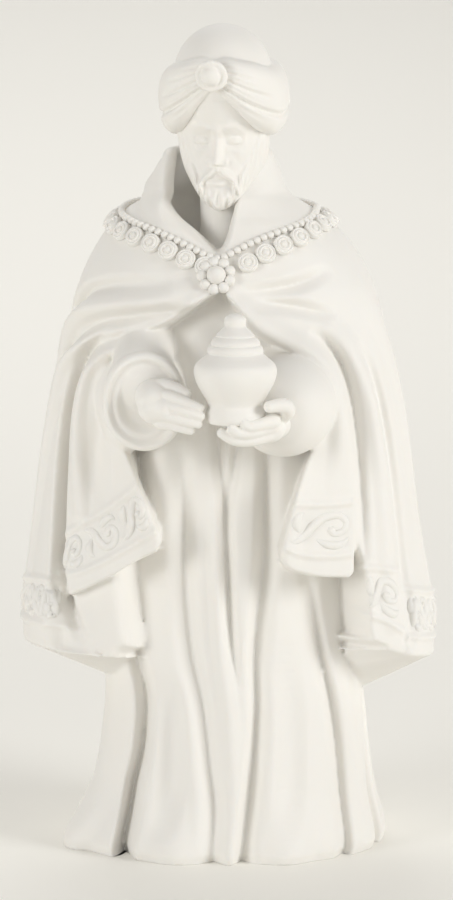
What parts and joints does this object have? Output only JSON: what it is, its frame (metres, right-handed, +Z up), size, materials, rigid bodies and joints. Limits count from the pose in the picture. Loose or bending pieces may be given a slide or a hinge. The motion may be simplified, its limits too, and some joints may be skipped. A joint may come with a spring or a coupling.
{
  "type": "nativity wise man figurine",
  "caption": "Standing robed wise man in a turban and a bordered cloak, holding a lidded jar in both hands; one white bisque casting that rests on its flat underside",
  "frame": {"origin": "on the ground under the middle of the figure's bounding box", "axes": "+Z up, -Y the way the figure faces, +X to the figure's left side, which is the viewer's right"},
  "size_m": [0.0846, 0.0792, 0.1653],
  "materials": {
    "bisque_porcelain": "unglazed matte white bisque with a fine smooth surface"
  },
  "bodies": {
    "root": {"wise_man": "bisque_porcelain"}
  },
  "joints": []
}
